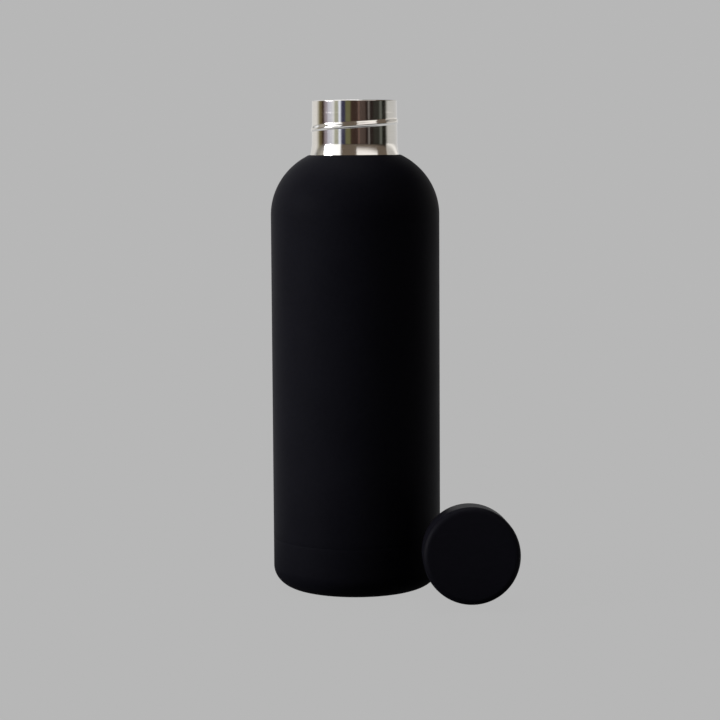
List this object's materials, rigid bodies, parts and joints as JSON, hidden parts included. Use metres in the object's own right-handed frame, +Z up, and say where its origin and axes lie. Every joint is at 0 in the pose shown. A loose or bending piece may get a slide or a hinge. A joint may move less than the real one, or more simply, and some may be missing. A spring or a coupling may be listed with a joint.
{
  "type": "vacuum flask",
  "caption": "Slim double-wall vacuum flask with a rounded shoulder, a bare steel threaded neck and a short round screw cap laid beside it.",
  "frame": {"origin": "centre of the flat underside of the bottle's base", "axes": "+Z up along the bottle's axis, -Y towards the front, where the cap lies with its disc facing forward, and +X to the right"},
  "size_m": [0.1004, 0.0917, 0.2034],
  "materials": {
    "body_coat": "matte soft-touch coating",
    "base_coat": "matte soft-touch coating",
    "neck_steel": "electro-polished stainless steel",
    "inner_steel": "drawn stainless steel",
    "foil": "copper foil",
    "getter_metal": "sintered pellet",
    "seal_glass": "solder glass",
    "cover_coat": "matte coating",
    "cap_coat": "matte soft-touch coating",
    "cap_plastic": "moulded polypropylene",
    "foam": "foam",
    "silicone": "silicone"
  },
  "bodies": {
    "bottle": {"outer_shell": "body_coat", "outer_base": "base_coat", "threaded_neck": "neck_steel", "inner_liner": "inner_steel", "liner_bottom": "inner_steel", "foil_wrap": "foil", "getter": "getter_metal", "getter_cup": "inner_steel", "port_seal": "seal_glass", "base_cover": "cover_coat"},
    "cap_seal": {"cap_gasket": "silicone"},
    "cap": {"cap_shell": "cap_coat", "cap_insert": "cap_plastic", "cap_foam": "foam", "cap_plug": "cap_plastic", "plug_foam": "foam"}
  },
  "joints": [
    {"name": "cap_swing", "type": "hinge", "parent": "bottle", "child": "cap_seal", "pos_m": [-0.0004, 0.121, 0.1155], "axis": [-0.9568, 0.199, -0.212], "range_deg": [0, 86.3]},
    {"name": "cap_turn", "type": "hinge", "parent": "cap_seal", "child": "cap", "pos_m": [0.0459, -0.02699, 0.01944], "axis": [-0.0088, -0.9943, 0.1066], "range_deg": [-400, 0]}
  ]
}
